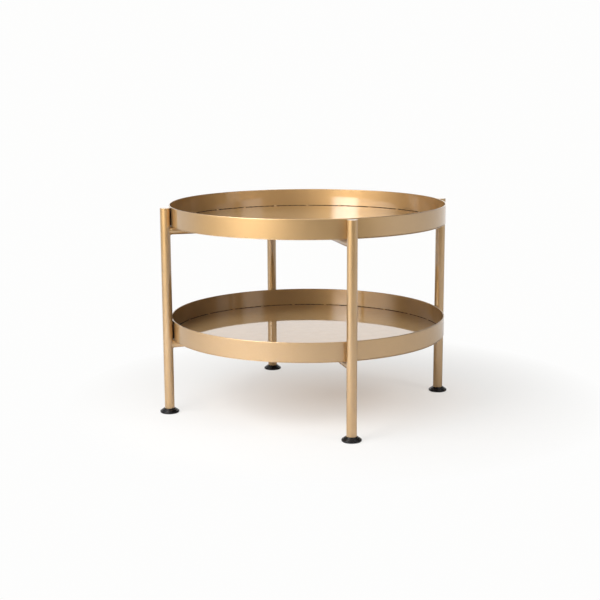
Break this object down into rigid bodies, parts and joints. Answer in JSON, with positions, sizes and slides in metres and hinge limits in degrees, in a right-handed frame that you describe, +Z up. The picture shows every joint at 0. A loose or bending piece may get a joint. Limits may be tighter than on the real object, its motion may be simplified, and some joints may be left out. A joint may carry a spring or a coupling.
{
  "type": "tiered side table",
  "caption": "Round tiered side table: rimmed metal trays on cross tubes between tube legs with levelling feet.",
  "frame": {"origin": "on the floor under the table's centre", "axes": "+Z up; the legs stand on the X and Y axes, the front leg towards -Y and the right leg towards +X"},
  "size_m": [0.6658, 0.6658, 0.4462],
  "materials": {
    "gold_lacquer": "glossy clear-coated metallic gold lacquer",
    "pad_plastic": "satin black",
    "socket_plastic": "matt black",
    "zinc_steel": "bright zinc"
  },
  "bodies": {
    "frame": {"upper_tray_floor": "gold_lacquer", "upper_tray_rim": "gold_lacquer", "upper_tray_tacks": "gold_lacquer", "upper_cross_tube": "gold_lacquer", "upper_arm_front": "gold_lacquer", "upper_arm_back": "gold_lacquer", "lower_tray_floor": "gold_lacquer", "lower_tray_rim": "gold_lacquer", "lower_tray_tacks": "gold_lacquer", "lower_cross_tube": "gold_lacquer", "lower_arm_front": "gold_lacquer", "lower_arm_back": "gold_lacquer", "leg_right": "gold_lacquer", "leg_back": "gold_lacquer", "leg_left": "gold_lacquer", "leg_front": "gold_lacquer", "leg_cap_right": "gold_lacquer", "leg_cap_back": "gold_lacquer", "leg_cap_left": "gold_lacquer", "leg_cap_front": "gold_lacquer", "foot_socket_right": "socket_plastic", "foot_socket_back": "socket_plastic", "foot_socket_left": "socket_plastic", "foot_socket_front": "socket_plastic"},
    "pad_right": {"foot_pad_right": "pad_plastic"},
    "stud_right": {"foot_stud_right": "zinc_steel"},
    "pad_back": {"foot_pad_back": "pad_plastic"},
    "stud_back": {"foot_stud_back": "zinc_steel"},
    "pad_left": {"foot_pad_left": "pad_plastic"},
    "stud_left": {"foot_stud_left": "zinc_steel"},
    "pad_front": {"foot_pad_front": "pad_plastic"},
    "stud_front": {"foot_stud_front": "zinc_steel"}
  },
  "joints": [
    {"name": "foot_right_travel", "type": "slide", "parent": "frame", "child": "pad_right", "axis": [0, 0, -1], "range_m": [0, 0.008]},
    {"name": "foot_right_turn", "type": "hinge", "parent": "pad_right", "child": "stud_right", "pos_m": [0.31225, 0, 0], "axis": [0, 0, -1], "continuous": true},
    {"name": "foot_back_travel", "type": "slide", "parent": "frame", "child": "pad_back", "axis": [0, 0, -1], "range_m": [0, 0.008]},
    {"name": "foot_back_turn", "type": "hinge", "parent": "pad_back", "child": "stud_back", "pos_m": [0, 0.31225, 0], "axis": [0, 0, -1], "continuous": true},
    {"name": "foot_left_travel", "type": "slide", "parent": "frame", "child": "pad_left", "axis": [0, 0, -1], "range_m": [0, 0.008]},
    {"name": "foot_left_turn", "type": "hinge", "parent": "pad_left", "child": "stud_left", "pos_m": [-0.31225, 0, 0], "axis": [0, 0, -1], "continuous": true},
    {"name": "foot_front_travel", "type": "slide", "parent": "frame", "child": "pad_front", "axis": [0, 0, -1], "range_m": [0, 0.008]},
    {"name": "foot_front_turn", "type": "hinge", "parent": "pad_front", "child": "stud_front", "pos_m": [0, -0.31225, 0], "axis": [0, 0, -1], "continuous": true}
  ],
  "couplings": [
    {"joint": "foot_right_turn", "follows": "foot_right_travel", "rad_per_m": 5026.5},
    {"joint": "foot_back_turn", "follows": "foot_back_travel", "rad_per_m": 5026.5},
    {"joint": "foot_left_turn", "follows": "foot_left_travel", "rad_per_m": 5026.5},
    {"joint": "foot_front_turn", "follows": "foot_front_travel", "rad_per_m": 5026.5}
  ]
}
